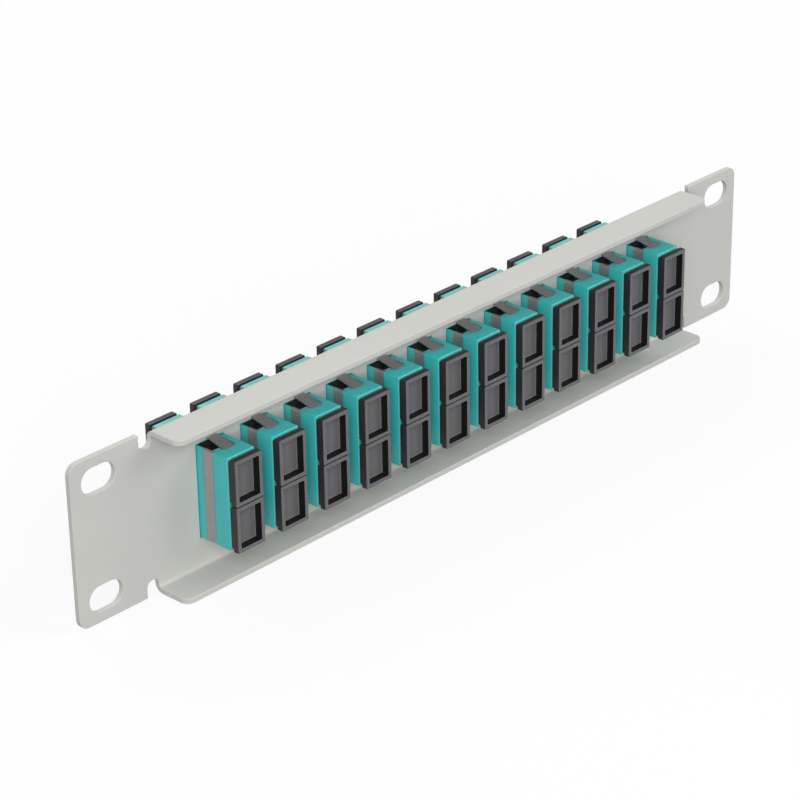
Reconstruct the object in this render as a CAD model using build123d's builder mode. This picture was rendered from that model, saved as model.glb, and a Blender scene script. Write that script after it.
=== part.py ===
from build123d import *
import os

# Fibre patch panel: a folded sheet panel with twelve duplex square-port adapters and their dust caps.
# All sizes are in millimetres. X runs along the panel, +Z is up and +Y points to the patching side.
# The origin is the centre of the plate's rear face, the face that rests on the rack rails.

# Panel sheet
panel_length = 254.0
panel_height = 44.4
sheet = 1.5
ear_corner_radius = 3.0
flange_length = 203.0
flange_depth = 10.0
flange_corner_radius = 2.5
fold_inner_radius = 1.0
notch_width = 3.8
notch_depth = 4.4

# Rack slots in the ears
slot_pitch_x = 236.525
slot_pitch_z = 31.75
slot_length = 10.5
slot_width = 7.0

# Adapter row
adapter_count = 12
adapter_pitch = 15.0
cutout_clearance = 0.2

# Adapter housing: two halves that meet at a seam just in front of the plate
housing_width = 9.2
housing_height = 25.4
half_length = 13.4
shoulder_thickness = 1.1
shoulder_rise = 1.0

# Ports
port_pitch = 12.7
port_width = 7.5
port_height = 9.1
keyway_width = 2.3
keyway_length = 4.5

# Seat of the retaining clip, cut into the rear half
seat_length = 7.0
seat_depth = 0.9
seat_rail = 1.0
window_width = 6.0
window_length = 2.1

# Retaining clip of spring sheet
clip_sheet = 0.3
clip_play = 0.05
strap_width = 3.3
strap_front = 2.35
strap_leg = 1.9
tab_width = 4.5
tab_tip_width = 3.7
tab_root = 0.7
tab_rise = 1.3
tab_gap = 0.25

# Latch insert: base plate, ferrule tube and hook arms
base_thickness = 1.6
base_margin = 0.25
base_play = 0.05
tube_radius = 2.45
tube_sides = 6
tube_length = 6.6
hook_width = 3.4
hook_reach = 8.0
hook_inner = 3.3
hook_thickness = 0.8
hook_nib = 0.5
hook_ramp = 1.3

# Split sleeve that lines up the two ferrules. Like the tube around it, it is drawn with few
# flat sides, because the panel holds so many of them.
sleeve_radius = 1.6
sleeve_wall = 0.35
sleeve_length = 11.4
sleeve_slot = 0.5
sleeve_clearance = 0.05

# Dust cap
rim_height = 12.5
rim_thickness = 1.7
neck_length = 0.9
neck_inset_x = 0.3
neck_inset_z = 0.6
plug_length = 5.0
plug_clearance = 0.1
recess_margin = 1.1
recess_depth = 2.2

# Places that follow from the sizes above
seam_y = sheet + shoulder_thickness
seat_floor_z = housing_height / 2 - seat_depth
adapter_places = [
    ((number - (adapter_count - 1) / 2) * adapter_pitch, 0, 0) for number in range(adapter_count)
]
port_levels = {"upper": port_pitch / 2, "lower": -port_pitch / 2}
port_places = [(x, 0, z) for x, _, _ in adapter_places for z in port_levels.values()]


def facing(outward, x=0.0, y=seam_y, z=0.0):
    """A plane across Y whose normal points to the rear (-1) or to the front (+1)."""
    return Plane(origin=(x, y, z), x_dir=(1, 0, 0), z_dir=(0, outward, 0))


def make_panel():
    """The plate with its two flanges, ears, relief notches, rack slots and adapter cut-outs."""
    with BuildPart() as panel:
        # Channel section across the panel: web, two folds and two flanges
        with BuildSketch(Plane.YZ.offset(-flange_length / 2)) as section:
            with Locations(((sheet - flange_depth) / 2, 0)):
                Rectangle(flange_depth + sheet, panel_height)
            fillet(section.vertices().group_by(Axis.X)[-1], fold_inner_radius + sheet)
            with Locations((-flange_depth / 2, 0)):
                Rectangle(flange_depth, panel_height - 2 * sheet, mode=Mode.SUBTRACT)
            inner_corners = section.vertices().filter_by_position(Axis.X, -0.01, 0.01)
            fillet(inner_corners, fold_inner_radius)
        extrude(amount=flange_length)
        flange_corners = panel.edges().filter_by(Axis.Z).group_by(Axis.Y)[0]
        fillet(flange_corners, flange_corner_radius)
        # Ears beyond the folds
        with BuildSketch(facing(-1, y=sheet)):
            RectangleRounded(panel_length, panel_height, ear_corner_radius)
            Rectangle(flange_length, panel_height, mode=Mode.SUBTRACT)
        extrude(amount=sheet)
        # Holes through the plate
        with BuildSketch(facing(-1, y=sheet)):
            with GridLocations(slot_pitch_x, slot_pitch_z, 2, 2):
                SlotOverall(slot_length, slot_width)
            with GridLocations(flange_length + notch_width, panel_height, 2, 2):
                SlotOverall(2 * notch_depth, notch_width, rotation=90)
            with GridLocations(adapter_pitch, 0, adapter_count, 1):
                Rectangle(housing_width + 2 * cutout_clearance, housing_height + 2 * cutout_clearance)
        extrude(amount=sheet, mode=Mode.SUBTRACT)
    return panel


def make_housing_half(outward):
    """Half of a duplex housing, from the seam to its mouth at the rear (-1) or the front (+1)."""
    seam = facing(outward)
    mouth = seam.offset(half_length)
    with BuildPart() as half:
        with BuildSketch(seam):
            Rectangle(housing_width, housing_height)
        extrude(amount=half_length)
        # Shoulder that stops against the front of the plate
        with BuildSketch(seam):
            Rectangle(housing_width, housing_height + 2 * shoulder_rise)
        extrude(amount=shoulder_thickness)
        # Two ports
        with BuildSketch(seam):
            with GridLocations(0, port_pitch, 1, 2):
                Rectangle(port_width, port_height)
        extrude(amount=half_length, mode=Mode.SUBTRACT)
        # Keyways through the wall beside each port
        with BuildSketch(mouth):
            with Locations(*[(housing_width / 2, z) for z in port_levels.values()]):
                Rectangle(housing_width - port_width, keyway_width)
        extrude(amount=-keyway_length, mode=Mode.SUBTRACT)
    return half


def cut_seats(half):
    """The rear housing half, with the seats of the latch inserts and of the retaining clip."""
    seat_spacing = housing_height - seat_depth
    port_roof_z = (port_pitch + port_height) / 2
    window_spacing = seat_floor_z + port_roof_z
    with BuildPart() as seated:
        add(half.part)
        # Wider pockets at the seam, which trap the bases of the latch inserts
        with BuildSketch(facing(-1)):
            with GridLocations(0, port_pitch, 1, 2):
                Rectangle(port_width + 2 * base_margin, port_height + 2 * base_margin)
        extrude(amount=base_thickness, mode=Mode.SUBTRACT)
        # Top and bottom recesses, open to the left and closed by a rail on the right
        with BuildSketch(facing(-1, y=sheet)):
            with Locations((-seat_rail / 2, 0)):
                with GridLocations(0, seat_spacing, 1, 2):
                    Rectangle(housing_width - seat_rail, seat_depth)
        extrude(amount=seat_length + sheet, mode=Mode.SUBTRACT)
        # Windows into the ports beside the plate, flush with each port's left wall
        with BuildSketch(facing(-1, y=0)):
            with Locations(((window_width - port_width) / 2, 0)):
                with GridLocations(0, window_spacing, 1, 2):
                    Rectangle(window_width, seat_floor_z - port_roof_z)
        extrude(amount=window_length, mode=Mode.SUBTRACT)
        # Groove of the strap on the left face
        with BuildSketch(facing(-1, y=clip_play - strap_front)):
            with Locations(((clip_sheet - housing_width) / 2, 0)):
                Rectangle(clip_sheet, housing_height)
        extrude(amount=strap_width + 2 * clip_play, mode=Mode.SUBTRACT)
    return seated


def make_spring_tab():
    """The upper tab, which rises from the seat to just behind the plate."""
    root_y = clip_play * 2 - seat_length
    tip_y = -tab_gap
    top_z = seat_floor_z + clip_sheet
    with BuildPart() as tab:
        with BuildSketch(Plane.YZ.offset(-tab_width / 2)):
            with BuildLine():
                Polyline(
                    (root_y, seat_floor_z),
                    (root_y + tab_root, seat_floor_z),
                    (tip_y, seat_floor_z + tab_rise),
                    (tip_y, top_z + tab_rise),
                    (root_y + tab_root, top_z),
                    (root_y, top_z),
                    close=True,
                )
            make_face()
        extrude(amount=tab_width)
        # Taper towards the free end
        with BuildSketch(Plane.XY.offset(seat_floor_z)):
            with BuildLine():
                Polyline(
                    (-tab_width / 2, root_y),
                    (tab_width / 2, root_y),
                    (tab_tip_width / 2, tip_y),
                    (-tab_tip_width / 2, tip_y),
                    close=True,
                )
            make_face()
        extrude(amount=tab_rise + clip_sheet, mode=Mode.INTERSECT)
    return tab


def make_clip(tab):
    """U-shaped spring clip: a strap on the left face, two base strips and two spring tabs."""
    left = -housing_width / 2
    strip_right = housing_width / 2 - seat_rail - clip_play
    strip_rear = clip_play * 2 - seat_length
    strap_rear = -strap_front - strap_width
    with BuildPart() as clip:
        with BuildSketch(facing(-1, y=-strap_front)):
            with Locations((left + strap_leg / 2, 0)):
                Rectangle(strap_leg, 2 * (seat_floor_z + clip_sheet))
            with Locations((left + clip_sheet + strap_leg / 2, 0)):
                Rectangle(strap_leg, 2 * seat_floor_z, mode=Mode.SUBTRACT)
        extrude(amount=strap_width)
        with BuildSketch(Plane.XY.offset(seat_floor_z)):
            with Locations(((left + strip_right) / 2, (strip_rear + strap_rear) / 2)):
                Rectangle(strip_right - left, strap_rear - strip_rear)
        extrude(amount=clip_sheet)
        add(tab.part)
        mirror(about=Plane.XY)
    return clip


def make_latch_insert():
    """Inner piece of one port: a base plate with a ferrule tube and two hook arms on each side."""
    with BuildPart() as insert:
        with BuildSketch(facing(-1)):
            spare = 2 * (base_margin - base_play)
            Rectangle(port_width + spare, port_height + spare)
        extrude(amount=base_thickness)
        with BuildSketch(facing(-1)):
            RegularPolygon(tube_radius, tube_sides, major_radius=False)
        extrude(amount=tube_length, both=True)
        with BuildSketch(facing(-1)):
            RegularPolygon(sleeve_radius + sleeve_clearance, tube_sides, major_radius=False)
        extrude(amount=tube_length, both=True, mode=Mode.SUBTRACT)
        # Hook arms, drawn from the side
        with BuildSketch(Plane.YZ.offset(-hook_width / 2)):
            for outward in (-1, 1):
                with BuildLine():
                    Polyline(
                        (seam_y, hook_inner),
                        (seam_y, hook_inner + hook_thickness),
                        (seam_y + outward * hook_reach, hook_inner + hook_thickness),
                        (seam_y + outward * hook_reach, hook_inner),
                        (seam_y + outward * (hook_reach - hook_ramp), hook_inner - hook_nib),
                        (seam_y + outward * (hook_reach - hook_ramp), hook_inner),
                        close=True,
                    )
                make_face()
            mirror(about=Plane.XZ)
        extrude(amount=hook_width)
    return insert


def make_split_sleeve():
    """Ceramic sleeve, centred on the seam."""
    with BuildPart() as sleeve:
        with BuildSketch(facing(-1, y=seam_y + sleeve_length / 2)):
            RegularPolygon(sleeve_radius, tube_sides, major_radius=False)
            RegularPolygon(sleeve_radius - sleeve_wall, tube_sides, major_radius=False, mode=Mode.SUBTRACT)
            with Locations((0, sleeve_radius)):
                Rectangle(sleeve_slot, 2 * sleeve_radius, mode=Mode.SUBTRACT)
        extrude(amount=sleeve_length)
    return sleeve


def make_cap(outward, x, z):
    """Dust cap of one port: a rim, a neck that seats on the housing and a plug."""
    mouth = facing(outward, x, seam_y + outward * half_length, z)
    rim_back = mouth.offset(neck_length)
    with BuildPart() as cap:
        with BuildSketch(mouth):
            Rectangle(port_width - 2 * plug_clearance, port_height - 2 * plug_clearance)
        extrude(amount=-plug_length)
        with BuildSketch(mouth):
            Rectangle(housing_width - 2 * neck_inset_x, rim_height - 2 * neck_inset_z)
        extrude(amount=neck_length)
        with BuildSketch(rim_back):
            Rectangle(housing_width, rim_height)
        extrude(amount=rim_thickness)
        with BuildSketch(rim_back.offset(rim_thickness)):
            Rectangle(housing_width - 2 * recess_margin, rim_height - 2 * recess_margin)
        extrude(amount=-recess_depth, mode=Mode.SUBTRACT)
    return cap


def repeat(piece, places):
    """The same piece at every place, as separate solids of one node."""
    with BuildPart() as row:
        with Locations(*places):
            add(piece.part)
    return row


os.makedirs("parts", exist_ok=True)

nodes = {
    "panel_plate": make_panel(),
    "housing_rear_halves": repeat(cut_seats(make_housing_half(-1)), adapter_places),
    "housing_front_halves": repeat(make_housing_half(1), adapter_places),
    "retaining_clips": repeat(make_clip(make_spring_tab()), adapter_places),
    "latch_inserts": repeat(make_latch_insert(), port_places),
    "split_sleeves": repeat(make_split_sleeve(), port_places),
}
for side, outward in {"rear": -1, "front": 1}.items():
    for number, (x, _, _) in enumerate(adapter_places, start=1):
        for level, z in port_levels.items():
            nodes[f"cap_{side}_{number:02d}_{level}"] = make_cap(outward, x, z)

for name, node in nodes.items():
    node.part.label = name
    export_step(node.part, f"parts/{name}.step")
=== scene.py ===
# %% [markdown]
# # Dressing a fibre patch panel
# The part is a folded sheet panel that carries twelve duplex fibre adapters. A dust cap closes each port,
# at the rear and at the front. The CAD model gives every size and place, and Blender adds what the eye
# expects of the real thing: rounded moulded edges, a bent spring clip, powder coat, plastic and steel. This
# first step loads the CAD model as a fixed frame and keeps its box.

# %% Load the frame
import math
import bmesh
import bpy
from mathutils import Matrix, Vector


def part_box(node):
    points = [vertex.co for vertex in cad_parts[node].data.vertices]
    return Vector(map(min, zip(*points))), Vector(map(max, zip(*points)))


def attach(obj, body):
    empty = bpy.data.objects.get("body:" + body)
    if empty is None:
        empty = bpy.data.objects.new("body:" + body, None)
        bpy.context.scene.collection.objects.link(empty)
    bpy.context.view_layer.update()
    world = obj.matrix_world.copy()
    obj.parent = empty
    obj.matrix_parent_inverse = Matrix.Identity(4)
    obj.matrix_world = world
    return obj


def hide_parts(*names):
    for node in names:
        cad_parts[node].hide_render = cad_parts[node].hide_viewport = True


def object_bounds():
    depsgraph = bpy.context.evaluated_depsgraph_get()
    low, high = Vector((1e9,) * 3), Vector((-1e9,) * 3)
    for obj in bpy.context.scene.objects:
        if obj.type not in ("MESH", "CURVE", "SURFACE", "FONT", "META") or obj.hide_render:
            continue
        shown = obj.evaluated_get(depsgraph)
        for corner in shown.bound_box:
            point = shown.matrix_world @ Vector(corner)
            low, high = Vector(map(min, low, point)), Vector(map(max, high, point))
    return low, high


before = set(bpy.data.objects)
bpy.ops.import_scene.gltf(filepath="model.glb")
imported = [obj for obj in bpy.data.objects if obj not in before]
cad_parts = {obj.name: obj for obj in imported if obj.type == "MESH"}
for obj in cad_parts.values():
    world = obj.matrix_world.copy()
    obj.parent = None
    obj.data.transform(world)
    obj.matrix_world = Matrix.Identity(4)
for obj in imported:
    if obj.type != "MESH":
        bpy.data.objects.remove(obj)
cad_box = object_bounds()
print("CAD box in metres:", [[round(value, 4) for value in corner] for corner in cad_box])

# %% [markdown]
# ## Sizes
# Blender works in metres and this part is made of millimetres, so `mm` turns one into the other. The places
# come from the frame: the two rows of housing halves and the rear dust caps say where everything sits. Only
# the sizes that the boxes of the nodes can't tell, such as the width of a port, are written here.

# %% Read the places from the frame
mm = 0.001
rear_low, rear_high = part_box("housing_rear_halves")
front_mouth_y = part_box("housing_front_halves")[1].y
cap_low, cap_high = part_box("cap_rear_01_upper")
adapter_count = 12
adapter_xs = []
for number in range(1, adapter_count + 1):
    low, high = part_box(f"cap_rear_{number:02d}_upper")
    adapter_xs.append((low.x + high.x) / 2)
port_z = (cap_low.z + cap_high.z) / 2
port_levels = {"upper": port_z, "lower": -port_z}
half_width = adapter_xs[0] - rear_low.x
rear_mouth_y = rear_low.y
seam_y = rear_high.y
shoulder_z = rear_high.z
print("adapters", adapter_count, "pitch in mm", round((adapter_xs[1] - adapter_xs[0]) / mm, 3))

# %% Sizes that only the drawing knows
shoulder_rise = 1.0 * mm
shoulder_thickness = 1.1 * mm
port_half_width = 3.75 * mm
port_half_height = 4.55 * mm
keyway_half_width = 1.15 * mm
keyway_length = 4.5 * mm
pocket_margin = 0.25 * mm
pocket_depth = 1.6 * mm
clip_sheet = 0.3 * mm
clip_play = 0.1 * mm
strap_front = -2.35 * mm
strap_rear = -5.65 * mm
strap_leg = 0.75 * mm
strip_rear = -6.9 * mm
strip_left = -4.0 * mm
strip_width = 0.6 * mm
window_wall = 0.45 * mm
window_right = 2.9 * mm
tab_left = -1.45 * mm
tab_right = 2.1 * mm
tab_tip_share = 0.88
tab_root = 0.7 * mm
tab_rise = 1.1 * mm
tab_gap = 0.25 * mm
housing_z = shoulder_z - shoulder_rise
seat_play = 0.05 * mm
seat_z = housing_z - clip_sheet - seat_play
spare = 1.0 * mm
tolerance = 0.01 * mm

# %% [markdown]
# ## Three ways to shape a block
# Moulded parts like these are boxes at heart, so each starts as a block of the right size in the right
# place. Everything is deselected before a block is added, because an operator changes whatever is selected.
# A cut takes a block-shaped space away and a join adds one, both with the Boolean modifier. That is the
# quickest way to a clean port or seat. The third way is to pick faces or edges and to pull, resize or bevel
# them. The block's place goes into its mesh, so the object itself stays at the origin. A face counts as
# facing an axis when nearly all of its normal runs along it.

# %% Start a block, cut it, add to it
def start_block(name, low, high):
    """A block between two corners, as the start of a piece."""
    bpy.ops.object.select_all(action="DESELECT")
    low = Vector(low)
    high = Vector(high)
    bpy.ops.mesh.primitive_cube_add(size=1, location=(low + high) / 2, scale=high - low)
    bpy.ops.object.transform_apply(location=True, rotation=True, scale=True)
    block = bpy.context.object
    block.name = name
    return block


def combine(piece, tool, operation):
    """Applies a Boolean of a tool to a piece, then removes the tool."""
    boolean = piece.modifiers.new("combine", "BOOLEAN")
    boolean.operation = operation
    boolean.solver = "EXACT"
    boolean.object = tool
    bpy.context.view_layer.objects.active = piece
    bpy.ops.object.modifier_apply(modifier=boolean.name)
    bpy.data.objects.remove(tool)


def cut(piece, low, high):
    """Cuts a block-shaped space out of a piece."""
    combine(piece, start_block("space", low, high), "DIFFERENCE")


def cut_above_and_below(piece, low, high):
    """Cuts a space and its mirror image below the middle."""
    cut(piece, low, high)
    cut(piece, (low[0], low[1], -high[2]), (high[0], high[1], -low[2]))


# %% Pick faces or edges in code
facing = 0.9


def pick(piece, mode, wanted):
    """Opens a piece in edit mode and selects the faces or edges that are wanted."""
    bpy.ops.object.select_all(action="DESELECT")
    piece.select_set(True)
    bpy.context.view_layer.objects.active = piece
    bpy.ops.object.mode_set(mode="EDIT")
    bpy.ops.mesh.select_mode(type=mode)
    bpy.ops.mesh.select_all(action="DESELECT")
    shape = bmesh.from_edit_mesh(piece.data)
    for part in shape.faces if mode == "FACE" else shape.edges:
        if wanted(part):
            part.select_set(True)
    bmesh.update_edit_mesh(piece.data)


def close():
    """Goes back to object mode."""
    bpy.ops.object.mode_set(mode="OBJECT")


def middle_of(edge):
    """The middle of an edge."""
    return (edge.verts[0].co + edge.verts[1].co) / 2


def extrude(x=0.0, y=0.0, z=0.0):
    """Pulls the selected faces out by a distance."""
    bpy.ops.mesh.extrude_region_move(TRANSFORM_OT_translate={"value": (x, y, z)})


def resize(factors, about):
    """Resizes what is selected about a point."""
    bpy.ops.transform.resize(value=factors, center_override=about)


# %% [markdown]
# ## Soft edges
# No moulded or coated edge is perfectly sharp, and the thin bright line along it is what makes it look
# real. The Bevel modifier rounds each edge that turns by more than its angle limit. Hardened normals keep
# the flat faces flat, so that only the rounding shades from one side to the other.

# %% Round the edges
coat_radius = 0.45 * mm
moulded_radius = 0.12 * mm
insert_radius = 0.08 * mm
sheet_radius = 0.05 * mm


def round_edges(piece, radius, segments=2, sharper_than=40):
    """Rounds every edge that turns by more than an angle in degrees."""
    bpy.ops.object.select_all(action="DESELECT")
    piece.select_set(True)
    bpy.context.view_layer.objects.active = piece
    bpy.ops.object.shade_smooth()
    bevel = piece.modifiers.new("soft edges", "BEVEL")
    bevel.width = radius
    bevel.segments = segments
    bevel.limit_method = "ANGLE"
    bevel.angle_limit = math.radians(sharper_than)
    bevel.harden_normals = True
    bpy.ops.object.modifier_apply(modifier=bevel.name)


# %% [markdown]
# ## Copies
# The adapters and the caps repeat, so each is modelled once in the middle of the panel and copied to its
# places. Each copy gets a mesh of its own, moved inside the mesh. A front piece is the same mould turned
# half round the upright axis.

# %% Copy a model to a place
def copy_to(model, name, move):
    """A copy of a model with its own mesh, moved by a matrix."""
    mesh = model.data.copy()
    mesh.name = name
    mesh.transform(move)
    copy = bpy.data.objects.new(name, mesh)
    bpy.context.scene.collection.objects.link(copy)
    return copy


def discard(model):
    """Removes a model that has been copied."""
    bpy.data.objects.remove(model)


# %% [markdown]
# ## Shader arithmetic
# A finish is a small network of nodes. Writing it node by node is long, so the class below wraps one
# socket. Sums and products of wires add Math nodes, and `node` adds any other kind: its settings are set
# first, then its sockets get numbers or other wires.

# %% A wire between nodes
class Wire:
    """A socket in a material's nodes. Arithmetic on wires adds Math nodes."""

    def __init__(self, tree, socket=None):
        self.tree = tree
        self.socket = socket

    def node(self, kind, settings, inputs, output=0):
        """Adds a node and gives the wire of one of its outputs."""
        made = self.tree.nodes.new("ShaderNode" + kind)
        for name, setting in settings.items():
            setattr(made, name, setting)
        for name, value in inputs.items():
            if isinstance(value, Wire):
                self.tree.links.new(value.socket, made.inputs[name])
            else:
                made.inputs[name].default_value = value
        return Wire(self.tree, made.outputs[output])

    def math(self, operation, first, second):
        return self.node("Math", {"operation": operation}, {0: first, 1: second})

    def __add__(self, other):
        return self.math("ADD", self, other)

    def __radd__(self, other):
        return self.math("ADD", other, self)

    def __sub__(self, other):
        return self.math("SUBTRACT", self, other)

    def __rsub__(self, other):
        return self.math("SUBTRACT", other, self)

    def __mul__(self, other):
        return self.math("MULTIPLY", self, other)

    def __rmul__(self, other):
        return self.math("MULTIPLY", other, self)


# %% Parts that every finish uses
def paint(red, green, blue):
    """A colour from its screen values of 0 to 255, in the linear form that a shader takes."""
    screen = [value / 255 for value in (red, green, blue)]
    linear = [v / 12.92 if v <= 0.04045 else ((v + 0.055) / 1.055) ** 2.4 for v in screen]
    return (*linear, 1.0)


def start_finish(name):
    """A new material, its shader and the wire of the object's own coordinates."""
    material = bpy.data.materials.new(name)
    material.use_nodes = True
    shader = material.node_tree.nodes["Principled BSDF"]
    place = Wire(material.node_tree).node("TexCoord", {}, {}, "Object")
    return material, shader, place


def noise(place, size, detail=2.0):
    """Cloudy noise whose spots are about this size, from 0 to 1."""
    return place.node("TexNoise", {}, {"Vector": place, "Scale": 1 / size, "Detail": detail})


def blend(mask, first, second):
    """A colour between two others, by a mask."""
    settings = {"data_type": "RGBA"}
    return mask.node("Mix", settings, {0: mask, 6: first, 7: second}, 2)


def feed(shader, name, wire):
    """Links a wire to one of the shader's sockets."""
    wire.tree.links.new(wire.socket, shader.inputs[name])


def feed_bump(shader, height, depth, strength=1.0):
    """Turns a height from 0 to 1 into bumps of a depth in metres."""
    bump = height.node("Bump", {}, {"Height": height, "Distance": depth, "Strength": strength})
    feed(shader, "Normal", bump)


# %% [markdown]
# ## Powder coat
# The plate is painted with powder that melts in an oven. It dries to a pale grey skin, a little darker here
# and there, with the fine dimples known as orange peel. Two noises do it: a slow one for the shade and a
# fine one for the dimples, which also breaks up the gloss.

# %% Powder coat of the panel
def make_powder_coat():
    material, shader, place = start_finish("powder_coat")
    clouds = noise(place, 26 * mm)
    specks = noise(place, 0.5 * mm, detail=3.0)
    dimples = noise(place, 1.1 * mm)
    shade = clouds * 0.5 + specks * 0.5
    feed(shader, "Base Color", blend(shade, paint(191, 191, 186), paint(206, 206, 201)))
    feed(shader, "Roughness", 0.42 + 0.2 * specks)
    feed_bump(shader, dimples * 0.75 + specks * 0.25, depth=0.03 * mm, strength=0.6)
    shader.inputs["Specular IOR Level"].default_value = 0.4
    return material


powder_coat = make_powder_coat()
print("finish:", powder_coat.name)

# %% [markdown]
# ## Moulded plastics
# The aqua housings come out of a polished mould with a light texture, so they are even in colour and softly
# glossy. The dust caps are a softer black plastic with spark-textured faces and smooth sides. A cap carries
# four finishes, with painted light and shade in them: its face is lighter grey, partly from its texture and
# partly as painted light, its sides are darker, partly as painted shade, the walls of its recess are painted
# nearly black as painted shade, and the floor of its recess is painted lighter than the face, as painted
# light against the shade there. The latch inserts are painted dark, as painted shade.

# %% Plastics
def make_plastic(name, dark, light, grain, roughness, specular, depth):
    """A moulded plastic between two close colours, with a fine grain in its gloss and surface."""
    material, shader, place = start_finish(name)
    flow = noise(place, 6 * mm)
    spots = noise(place, grain)
    feed(shader, "Base Color", blend(flow * 0.6 + spots * 0.4, dark, light))
    feed(shader, "Roughness", roughness - 0.08 + 0.16 * spots)
    feed_bump(shader, spots, depth, strength=0.5)
    shader.inputs["Specular IOR Level"].default_value = specular
    return material


aqua = make_plastic(
    "aqua_plastic", paint(60, 176, 175), paint(70, 188, 187),
    grain=0.25 * mm, roughness=0.3, specular=0.6, depth=0.01 * mm,
)
# painted shade in part: the smooth sides are darker than the faces, standing in for less light on them
cap_side_smooth_and_painted_shade = make_plastic(
    "cap_side_smooth_and_painted_shade", paint(44, 41, 44), paint(54, 51, 54),
    grain=0.3 * mm, roughness=0.42, specular=0.3, depth=0.008 * mm,
)
# painted light in part: the textured faces are lighter than the sides, standing in for more light on them
cap_face_texture_and_painted_light = make_plastic(
    "cap_face_texture_and_painted_light", paint(73, 71, 74), paint(85, 82, 86),
    grain=0.2 * mm, roughness=0.6, specular=0.3, depth=0.015 * mm,
)
# painted shade: the recess walls are nearly black, for the shade inside the recess
cap_wall_painted_shade = make_plastic(
    "cap_wall_painted_shade", paint(16, 15, 16), paint(24, 23, 24),
    grain=0.3 * mm, roughness=0.5, specular=0.2, depth=0.008 * mm,
)
# painted light: the recess floor is lighter than the rim's face, to lift the shade inside the recess
cap_floor_painted_light = make_plastic(
    "cap_floor_painted_light", paint(98, 98, 100), paint(110, 109, 112),
    grain=0.2 * mm, roughness=0.6, specular=0.3, depth=0.015 * mm,
)
# painted shade: the latch inserts are dark, for the shade seen through the windows
insert_painted_shade = make_plastic(
    "insert_dark_painted_shade", paint(44, 44, 43), paint(56, 56, 54),
    grain=0.3 * mm, roughness=0.4, specular=0.5, depth=0.008 * mm,
)
ceramic = make_plastic(
    "white_ceramic", paint(228, 228, 224), paint(238, 238, 235),
    grain=0.4 * mm, roughness=0.22, specular=0.5, depth=0.003 * mm,
)
plastics = (aqua, cap_side_smooth_and_painted_shade, cap_face_texture_and_painted_light, cap_wall_painted_shade, cap_floor_painted_light, insert_painted_shade, ceramic)
print("finishes:", *(plastic.name for plastic in plastics))

# %% [markdown]
# ## Spring steel
# The clips are stamped from thin stainless strip. Rolling leaves fine lines along the strip, so the noise
# is stretched by a Mapping node before it reaches the gloss and the surface.

# %% Steel of the clips
def make_spring_steel():
    material, shader, place = start_finish("spring_steel")
    stretched = place.node("Mapping", {}, {"Vector": place, "Scale": (1.0, 12.0, 1.0)})
    lines = noise(stretched, 1.2 * mm, detail=4.0)
    stains = noise(place, 2.5 * mm)
    feed(shader, "Base Color", blend(stains * 0.5 + lines * 0.5, paint(164, 160, 161), paint(190, 186, 187)))
    feed(shader, "Roughness", 0.34 + 0.22 * lines)
    feed_bump(shader, lines, depth=0.01 * mm, strength=0.4)
    shader.inputs["Metallic"].default_value = 0.8
    return material


spring_steel = make_spring_steel()
print("finish:", spring_steel.name)

# %% [markdown]
# ## The panel
# The CAD plate has the right folds, slots and notches, but its edges are razor sharp. Its mesh is loose
# triangles, so a copy is merged first and the flat areas are joined into whole faces. Then the sharp edges
# can be rounded like sheet metal under its coat.

# %% Panel with coated edges
def merged_copy(node, name):
    """A copy of a CAD node whose loose triangles are merged into whole faces."""
    copy = copy_to(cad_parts[node], name, Matrix.Identity(4))
    pick(copy, "FACE", lambda face: True)
    bpy.ops.mesh.customdata_custom_splitnormals_clear()
    bpy.ops.mesh.remove_doubles(threshold=0.002 * mm)
    bpy.ops.mesh.dissolve_limited(angle_limit=math.radians(1))
    close()
    copy.data.materials.clear()
    return copy


def dress(piece, body, slot, *materials):
    """Gives a piece its finishes and its body."""
    for material in materials:
        piece.data.materials.append(material)
    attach(piece, body)


panel = merged_copy("panel_plate", "powder_coated_panel")
round_edges(panel, coat_radius, segments=4)
dress(panel, "panel", "panel_coat", powder_coat)
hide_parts("panel_plate")
print("panel faces:", len(panel.data.polygons))

# %% [markdown]
# ## The rear housing half
# A duplex housing is a thin tube with two ports. The block gets its outer edges rounded first, while they
# are easy to pick, and the shoulder that rests on the plate is added above and below. Then it is cut: two
# ports right through, keyways beside them, pockets at the seam, the groove and the shallow seats that hold
# the spring clip flush, and a window under each tab, so that the tab has room to bend. The window opens
# into the port and looks black, because the cap's plug and the latch insert fill what lies behind it, and
# the insert is painted dark as painted shade.

# %% Blocks that both halves start from
mouth_radius = 0.3 * mm


def start_half(name, mouth_y):
    """A housing half: a block with rounded edges at its mouth, a shoulder and two ports."""
    low_y, high_y = sorted((mouth_y, seam_y))
    outward = math.copysign(1, mouth_y - seam_y)
    half = start_block(name, (-half_width, low_y, -housing_z), (half_width, high_y, housing_z))
    pick(half, "EDGE", lambda edge: abs(middle_of(edge).y - seam_y) > tolerance)
    bpy.ops.mesh.bevel(offset=mouth_radius, segments=3, affect="EDGES")
    close()
    shoulder_ys = sorted((seam_y, seam_y + outward * shoulder_thickness))
    shoulder = start_block(
        "shoulder", (-half_width, shoulder_ys[0], -shoulder_z), (half_width, shoulder_ys[1], shoulder_z)
    )
    combine(half, shoulder, "UNION")
    cut_above_and_below(
        half,
        (-port_half_width, low_y - spare, port_z - port_half_height),
        (port_half_width, high_y + spare, port_z + port_half_height),
    )
    keyway_ys = sorted((mouth_y + outward * spare, mouth_y - outward * keyway_length))
    cut_above_and_below(
        half,
        (port_half_width - spare, keyway_ys[0], port_z - keyway_half_width),
        (half_width + spare, keyway_ys[1], port_z + keyway_half_width),
    )
    return half


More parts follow.
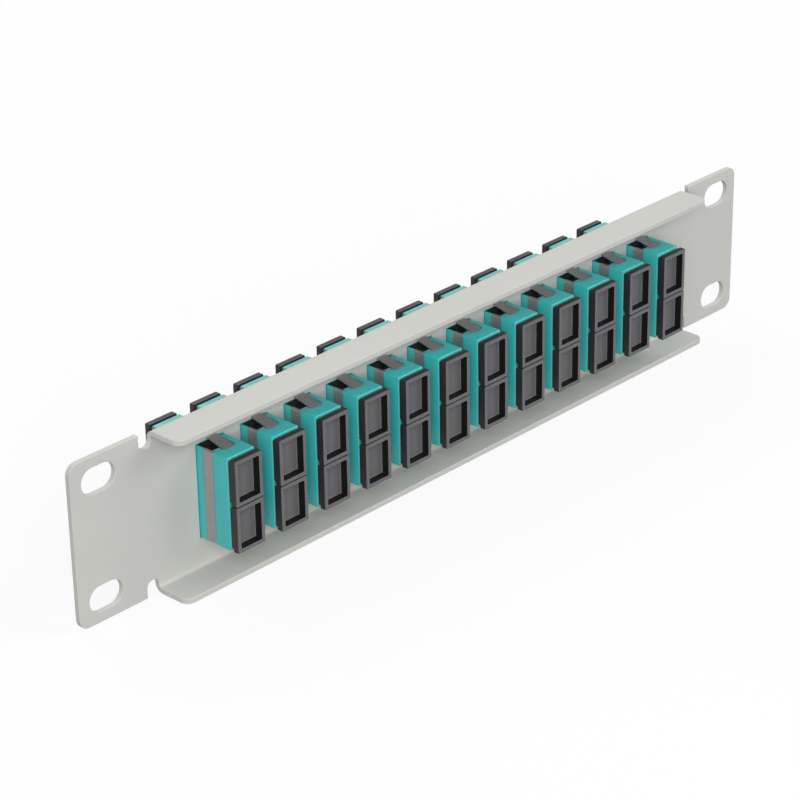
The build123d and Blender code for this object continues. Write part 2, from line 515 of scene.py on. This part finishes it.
# %% The slanted strip of the clip, which also shapes its seat
def start_strip(play, top_z):
    """The strip that runs from the strap's top back to the tab's root, made larger by some play."""
    strip = start_block(
        "strip",
        (strip_left - play, strap_rear - play, seat_z),
        (strip_left + strip_width, strap_rear + strip_width + play, top_z),
    )
    pick(strip, "FACE", lambda face: face.normal.x > facing)
    extrude(x=tab_left - strip_left, y=strip_rear - strap_rear)
    close()
    return strip


# %% Seats and windows for the clip
def cut_seats(half):
    """Cuts the groove down the left face and the shallow seats above and below."""
    seat_rear = strap_rear - clip_play
    seat_front = strap_front + clip_play
    leg_right = strap_leg - half_width
    cut(
        half,
        (-half_width - spare, seat_rear, -housing_z - spare),
        (clip_sheet - half_width, seat_front, housing_z + spare),
    )
    cut_above_and_below(half, (-half_width, seat_rear, seat_z), (leg_right, seat_front, housing_z + spare))
    cut_above_and_below(
        half,
        (tab_left - clip_play, strip_rear - clip_play, seat_z),
        (tab_right + clip_play, seat_rear, housing_z + spare),
    )
    for side in (1, -1):
        slanted_seat = start_strip(clip_play, housing_z + spare)
        slanted_seat.data.transform(Matrix.Diagonal((1, 1, side, 1)))
        if side < 0:
            slanted_seat.data.flip_normals()
        combine(half, slanted_seat, "DIFFERENCE")


def cut_windows(half):
    """Cuts the windows: beside the plate, on under the shoulder, and back under the tab."""
    floor_z = port_z + port_half_height - spare
    top_z = housing_z + spare
    left = window_wall - half_width
    shoulder_rear = seam_y - shoulder_thickness
    strip_front = strap_rear + strip_width + clip_play
    cut_above_and_below(
        half, (left, strip_front, floor_z), (window_right, shoulder_rear - clip_play, top_z)
    )
    cut_above_and_below(
        half,
        (left, shoulder_rear - spare, floor_z),
        (window_right, seam_y - clip_play, housing_z - clip_sheet),
    )
    cut_above_and_below(
        half,
        (tab_left - clip_sheet, strip_rear + tab_root + clip_play, floor_z),
        (window_right, strip_front + spare, top_z),
    )


# %% Rear halves
def make_rear_half():
    half = start_half("rear_half", rear_mouth_y)
    cut_above_and_below(
        half,
        (-port_half_width - pocket_margin, seam_y - pocket_depth, port_z - port_half_height - pocket_margin),
        (port_half_width + pocket_margin, seam_y + spare, port_z + port_half_height + pocket_margin),
    )
    cut_seats(half)
    cut_windows(half)
    round_edges(half, moulded_radius)
    return half


rear_half = make_rear_half()
print("rear half faces:", len(rear_half.data.polygons))

# %% [markdown]
# ## The front housing half
# The front half is the same tube, as the clip leaves it alone: it has no seats, windows or pockets. The
# same helper starts it, with its mouth on the other side of the seam.

# %% Front halves
front_half = start_half("front_half", front_mouth_y)
round_edges(front_half, moulded_radius)
print("front half faces:", len(front_half.data.polygons))

# %% [markdown]
# ## The spring clip
# The clip is one strip of steel: a strap down the left face, bent over at the top into a base strip, with a
# tab that springs up to hold the plate. The upper half is modelled and then mirrored. The base strip slants
# back from the strap to the tab's root, so one end of a block is pulled aside. The tab's root is a short
# block, and its free end is pulled out, up and narrower in one extrusion.

# %% Spring clip
bend_radius = 0.5 * mm


def make_clip():
    top_z = seat_z + clip_sheet
    left = -half_width
    clip = start_block("clip", (left, strap_rear, 0), (left + strap_leg, strap_front, top_z))
    pick(
        clip,
        "EDGE",
        lambda edge: middle_of(edge).x < left + tolerance and middle_of(edge).z > top_z - tolerance,
    )
    bpy.ops.mesh.bevel(offset=bend_radius, segments=4, affect="EDGES")
    close()
    cut(clip, (left + clip_sheet, strap_rear - spare, -spare), (left + strap_leg + spare, spare, seat_z))
    combine(clip, start_strip(0, top_z), "UNION")
    tab = start_block("tab", (tab_left, strip_rear, seat_z), (tab_right, strip_rear + tab_root, top_z))
    pick(tab, "FACE", lambda face: face.normal.y > facing)
    extrude(y=-tab_gap - strip_rear - tab_root, z=tab_rise)
    resize((tab_tip_share, 1, 1), ((tab_left + tab_right) / 2, 0, 0))
    close()
    combine(clip, tab, "UNION")
    mirror = clip.modifiers.new("lower half", "MIRROR")
    mirror.use_axis = (False, False, True)
    bpy.ops.object.select_all(action="DESELECT")
    bpy.context.view_layer.objects.active = clip
    bpy.ops.object.modifier_apply(modifier=mirror.name)
    round_edges(clip, sheet_radius)
    return clip


clip = make_clip()
print("clip faces:", len(clip.data.polygons))

# %% [markdown]
# ## Inside a port
# A port looks empty only while its cap is on. Behind the cap a latch insert holds the connector with two
# hooks, and a ceramic sleeve in its round tube lines up the fibres. Cylinders give the tube and the sleeve,
# and the hooks are blocks whose ends are pulled down into a nib. The insert is painted dark as painted
# shade, so that nothing pale shows through the windows.

# %% Round tools along the panel's depth
tube_radius = 2.45 * mm
tube_bore = 1.65 * mm
tube_reach = 6.6 * mm
sleeve_radius = 1.6 * mm
sleeve_bore = 1.25 * mm
sleeve_reach = 5.7 * mm
sleeve_slit = 0.25 * mm


def start_rod(name, radius, reach, z):
    """A round rod that reaches equally far to both sides of the seam."""
    bpy.ops.object.select_all(action="DESELECT")
    bpy.ops.mesh.primitive_cylinder_add(
        vertices=40, radius=radius, depth=2 * reach, location=(0, seam_y, z), rotation=(math.pi / 2, 0, 0)
    )
    bpy.ops.object.transform_apply(location=True, rotation=True, scale=True)
    rod = bpy.context.object
    rod.name = name
    return rod


# %% Latch insert
hook_half_width = 1.7 * mm
hook_reach = 8.0 * mm
hook_inner = 3.3 * mm
hook_thickness = 0.8 * mm
hook_nib = 0.5 * mm
hook_ramp = 1.3 * mm
base_play = 0.05 * mm


def start_hook(outward, side):
    """One hook arm of an insert at the middle of the panel, above (1) or below (-1) the tube."""
    z_low, z_high = sorted((side * hook_inner, side * (hook_inner + hook_thickness)))
    ramp_start = seam_y + outward * (hook_reach - hook_ramp)
    y_low, y_high = sorted((seam_y, ramp_start))
    hook = start_block("hook", (-hook_half_width, y_low, z_low), (hook_half_width, y_high, z_high))
    pick(hook, "FACE", lambda face: face.normal.y * outward > facing)
    extrude(z=-side * hook_nib)
    extrude(y=outward * hook_ramp, z=side * hook_nib)
    close()
    return hook


def make_latch():
    """The insert of one channel: a base plate, a tube and four hooks."""
    half_x = port_half_width + pocket_margin - base_play
    half_z = port_half_height + pocket_margin - base_play
    latch = start_block("latch", (-half_x, seam_y - pocket_depth, -half_z), (half_x, seam_y, half_z))
    combine(latch, start_rod("tube", tube_radius, tube_reach, 0), "UNION")
    for outward in (-1, 1):
        for side in (-1, 1):
            combine(latch, start_hook(outward, side), "UNION")
    combine(latch, start_rod("bore", tube_bore, tube_reach + spare, 0), "DIFFERENCE")
    round_edges(latch, insert_radius)
    return latch


latch = make_latch()
print("latch faces:", len(latch.data.polygons))

# %% Split sleeve
def make_sleeve():
    """The ceramic sleeve of one channel, a tube with a slit along its top."""
    sleeve = start_rod("sleeve", sleeve_radius, sleeve_reach, 0)
    combine(sleeve, start_rod("bore", sleeve_bore, sleeve_reach + spare, 0), "DIFFERENCE")
    slit_reach = sleeve_reach + spare
    cut(sleeve, (-sleeve_slit, seam_y - slit_reach, 0), (sleeve_slit, seam_y + slit_reach, spare * 2))
    round_edges(sleeve, sheet_radius)
    return sleeve


sleeve = make_sleeve()
print("sleeve faces:", len(sleeve.data.polygons))

# %% [markdown]
# ## Fill the row
# The models stand in the middle of the panel. Each adapter gets a copy of both housing halves and the clip,
# and a latch insert and a sleeve in each channel.

# %% Copies along the row
def fill_row(model, name, node, slot, material, levels=(0.0,)):
    """Copies a model to every adapter, at one or more levels."""
    letters = "ab"
    for number, x in enumerate(adapter_xs, start=1):
        for letter, z in zip(letters, levels):
            ending = letter if len(levels) > 1 else ""
            piece = copy_to(model, f"{name}_{number:02d}{ending}", Matrix.Translation((x, 0, z)))
            dress(piece, "panel", slot, material)
            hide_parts(node)
    discard(model)
    print(name, "copies:", adapter_count * len(levels))


fill_row(rear_half, "rear_housing", "housing_rear_halves", "housing_plastic", aqua)
fill_row(front_half, "front_housing", "housing_front_halves", "housing_plastic", aqua)
fill_row(clip, "spring_clip", "retaining_clips", "spring_steel", spring_steel)
# the dark insert finish is painted shade
fill_row(latch, "latch_insert", "latch_inserts", "insert_plastic", insert_painted_shade, (port_z, -port_z))
fill_row(sleeve, "split_sleeve", "split_sleeves", "ceramic", ceramic, (port_z, -port_z))

# %% [markdown]
# ## The dust cap
# A cap is a plug on a neck with a rim that fingers can grip, and its face is sunk to save plastic. It
# starts as the rim. Its back is extruded into the neck and then the plug, and the recess is cut into its
# face after the edges have been rounded, so that its lip stays crisp. The rim's front gets the textured
# finish, lighter partly as painted light, and the recess's floor a lighter one still, as painted light
# against the shade in the recess. The sides get the smooth finish, darker partly as painted shade, and the
# recess's walls a nearly black one, as painted shade.

# %% Dust cap
rim_thickness = 1.7 * mm
neck_inset_x = 0.3 * mm
neck_inset_z = 0.6 * mm
plug_length = 5.0 * mm
plug_half_width = 3.65 * mm
plug_half_height = 4.45 * mm
recess_margin = 1.1 * mm
recess_depth = 2.2 * mm
outer_radius = 0.35 * mm
inner_radius = 0.45 * mm


def is_deep(edge):
    """Whether an edge runs along the panel's depth."""
    return abs(edge.verts[0].co.y - edge.verts[1].co.y) > tolerance


def sink_face(cap, half_x, half_z, floor_y):
    """Cuts the recess of a cap's face and rounds its floor and its corners."""
    cut(cap, (-half_x, cap_low.y - spare, -half_z), (half_x, floor_y, half_z))

    def is_recess_edge(edge):
        on_floor = all(abs(corner.co.y - floor_y) < tolerance for corner in edge.verts)
        middle = middle_of(edge)
        at_corner = abs(abs(middle.x) - half_x) < tolerance and abs(abs(middle.z) - half_z) < tolerance
        return on_floor or (is_deep(edge) and at_corner)

    pick(cap, "EDGE", is_recess_edge)
    bpy.ops.mesh.bevel(offset=inner_radius, segments=4, affect="EDGES")
    close()


def colour_cap(cap, half_x, half_z):
    """Gives the sides a darker finish, partly painted shade, the recess's walls a nearly black one as
    painted shade, the rim's face a lighter one, partly painted light, and the recess's floor a lighter one
    still as painted light.
    """
    side_painted_shade_finish, face_painted_light_finish, wall_painted_shade_finish, floor_painted_light_finish = range(4)
    for face in cap.data.polygons:
        middle = face.center
        behind_rim = abs(middle.x) < half_x + tolerance and abs(middle.z) < half_z + tolerance
        in_recess = behind_rim and middle.y < rear_mouth_y
        faces_out = face.normal.y < -0.6
        if in_recess:
            face.material_index = floor_painted_light_finish if faces_out else wall_painted_shade_finish
        else:
            face.material_index = face_painted_light_finish if faces_out else side_painted_shade_finish


def make_cap():
    """A rear dust cap, in the middle of the panel."""
    rim_half_width = half_width
    rim_half_height = (cap_high.z - cap_low.z) / 2
    rim_back = cap_low.y + rim_thickness
    middle = (0, rim_back, 0)
    cap = start_block(
        "cap", (-rim_half_width, cap_low.y, -rim_half_height), (rim_half_width, rim_back, rim_half_height)
    )
    pick(cap, "EDGE", is_deep)
    bpy.ops.mesh.bevel(offset=outer_radius, segments=3, affect="EDGES")
    close()
    pick(cap, "FACE", lambda face: face.normal.y > facing)
    extrude()
    neck_half_width = rim_half_width - neck_inset_x
    neck_half_height = rim_half_height - neck_inset_z
    resize((neck_half_width / rim_half_width, 1, neck_half_height / rim_half_height), middle)
    extrude(y=rear_mouth_y - rim_back)
    extrude()
    resize((plug_half_width / neck_half_width, 1, plug_half_height / neck_half_height), middle)
    extrude(y=plug_length)
    close()
    round_edges(cap, moulded_radius)
    recess_half_width = rim_half_width - recess_margin
    recess_half_height = rim_half_height - recess_margin
    sink_face(cap, recess_half_width, recess_half_height, cap_low.y + recess_depth)
    colour_cap(cap, recess_half_width, recess_half_height)
    return cap


cap = make_cap()
print("cap faces:", len(cap.data.polygons))

# %% Caps on every port
half_turn = Matrix.Rotation(math.pi, 4, "Z")
rear_middle_y = (cap_low.y + cap_high.y) / 2
for side, turn in {"rear": Matrix.Identity(4), "front": half_turn}.items():
    for number, x in enumerate(adapter_xs, start=1):
        for level, z in port_levels.items():
            node = f"cap_{side}_{number:02d}_{level}"
            low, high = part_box(node)
            middle_y = (low.y + high.y) / 2
            shift = Matrix.Translation((x, middle_y - (turn @ Vector((0, rear_middle_y, 0))).y, z))
            piece = copy_to(cap, f"dust_{node}", shift @ turn)
            # the cap's four finishes carry painted light and painted shade
            dress(piece, node, "cap_plastic", cap_side_smooth_and_painted_shade, cap_face_texture_and_painted_light, cap_wall_painted_shade, cap_floor_painted_light)
            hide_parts(node)
discard(cap)
print("caps:", 2 * adapter_count * len(port_levels))

# %% [markdown]
# ## The studio
# A pale floor, soft lamps and a pale world light the panel evenly, so each colour shows about as it was
# chosen. The floor and the world look white to the camera and in reflections. The floor keeps a soft shadow
# under the panel and turns wholly white further away, so that no line shows where it ends. For the light
# that it throws back at the panel it is a dark grey, so that undersides stay dark as they do in a real
# studio.

# %% World and floor
ambient = 0.45
floor_size = 6.0
floor_gap = 0.2 * mm
floor_glow = 0.85
shadow_reach = 0.25
white_reach = 0.7


def shown_rays(start):
    """1 for what the camera sees, also in a reflection or through glass, and 0 for light on the object."""
    camera, glossy, through = [
        start.node("LightPath", {}, {}, f"Is {kind} Ray") for kind in ("Camera", "Glossy", "Transmission")
    ]
    return camera.math("MAXIMUM", camera.math("MAXIMUM", camera, glossy), through)


def make_world():
    """White to the camera and in reflections, and a soft pale light on everything else."""
    world = bpy.data.worlds.new("studio")
    bpy.context.scene.world = world
    world.use_nodes = True
    tree = world.node_tree
    shown = shown_rays(Wire(tree))
    strength = shown * (1 - ambient) + ambient
    tree.links.new(strength.socket, tree.nodes["Background"].inputs["Strength"])
    tree.nodes["Background"].inputs["Color"].default_value = (1, 1, 1, 1)


def make_floor():
    """A wide pale floor under the panel that keeps its shadow."""
    bpy.ops.object.select_all(action="DESELECT")
    bpy.ops.mesh.primitive_plane_add(size=floor_size, location=(0, 0, cad_box[0].z - floor_gap))
    bpy.ops.object.transform_apply(location=True, rotation=True, scale=True)
    floor = bpy.context.object
    floor.name = "floor"
    material, shader, place = start_finish("floor_paper")
    tree = material.node_tree
    clouds = noise(place, 60 * mm)
    seen = shown_rays(place)
    paper = blend(clouds, paint(246, 246, 246), paint(250, 250, 250))
    feed(shader, "Base Color", blend(seen, paint(90, 90, 90), paper))
    shader.inputs["Roughness"].default_value = 0.9
    shader.inputs["Specular IOR Level"].default_value = 0.1
    glow = place.node("Emission", {}, {"Color": (1, 1, 1, 1), "Strength": 1.0})
    lit = Wire(tree, shader.outputs[0])
    distance = place.node("VectorMath", {"operation": "LENGTH"}, {0: place}, "Value")
    away = place.node("MapRange", {}, {"Value": distance, "From Min": shadow_reach, "From Max": white_reach})
    share = seen * (away * (1 - floor_glow) + floor_glow)
    mixed = place.node("MixShader", {}, {0: share, 1: lit, 2: glow})
    tree.links.new(mixed.socket, tree.nodes["Material Output"].inputs["Surface"])
    floor.data.materials.append(material)


make_world()
make_floor()

# %% [markdown]
# ## Lamps and camera
# The key lamp is large and hangs rather low on the camera's side, so it lights the plate under its flange
# and its shadows are soft. A weaker one at the right keeps the far sides of the housings readable, and a
# third behind the panel lights its other side and the top flange. The camera stands where the photographer
# stood: to the left, a little above, close enough for the near ear to look larger than the far one.

# %% Lamps
lamp_distance = 2.0
lamp_size = 1.2


def hang_lamp(name, azimuth, elevation, power):
    """A square soft lamp that points at the panel."""
    bpy.ops.object.select_all(action="DESELECT")
    bpy.ops.object.light_add(type="AREA")
    lamp = bpy.context.object
    lamp.name = name
    lamp.data.size = lamp_size
    lamp.data.energy = power
    turn = math.radians(azimuth)
    rise = math.radians(elevation)
    back = Vector((math.sin(turn) * math.cos(rise), -math.cos(turn) * math.cos(rise), math.sin(rise)))
    lamp.location = back * lamp_distance
    lamp.rotation_euler = back.to_track_quat("Z", "Y").to_euler()


hang_lamp("key lamp", azimuth=-42, elevation=22, power=28.5)
hang_lamp("side lamp", azimuth=50, elevation=35, power=14.5)
hang_lamp("back lamp", azimuth=165, elevation=38, power=10.0)

# %% Camera
def set_camera():
    """The photographer's place, fitted to the outlines of the panel in the picture."""
    turn = math.radians(-46.243)
    rise = math.radians(26.060)
    roll = math.radians(-1.024)
    distance = 735.7 * mm
    aim = Vector((-15.341 * mm, 0, -1.338 * mm))
    back = Vector((math.sin(turn) * math.cos(rise), -math.cos(turn) * math.cos(rise), math.sin(rise)))
    level_right = Vector((0, 0, 1)).cross(back).normalized()
    level_up = back.cross(level_right)
    right = level_right * math.cos(roll) + level_up * math.sin(roll)
    up = level_up * math.cos(roll) - level_right * math.sin(roll)
    bpy.ops.object.camera_add()
    camera = bpy.context.object
    axes = Matrix((right, up, back)).transposed()
    camera.matrix_world = Matrix.Translation(aim + back * distance) @ axes.to_4x4()
    camera.data.sensor_width = 36.0
    camera.data.lens = 126.73
    camera.data.clip_start = 0.01
    camera.data.clip_end = 20.0
    bpy.context.scene.camera = camera


set_camera()
bpy.context.scene.view_settings.view_transform = "Standard"
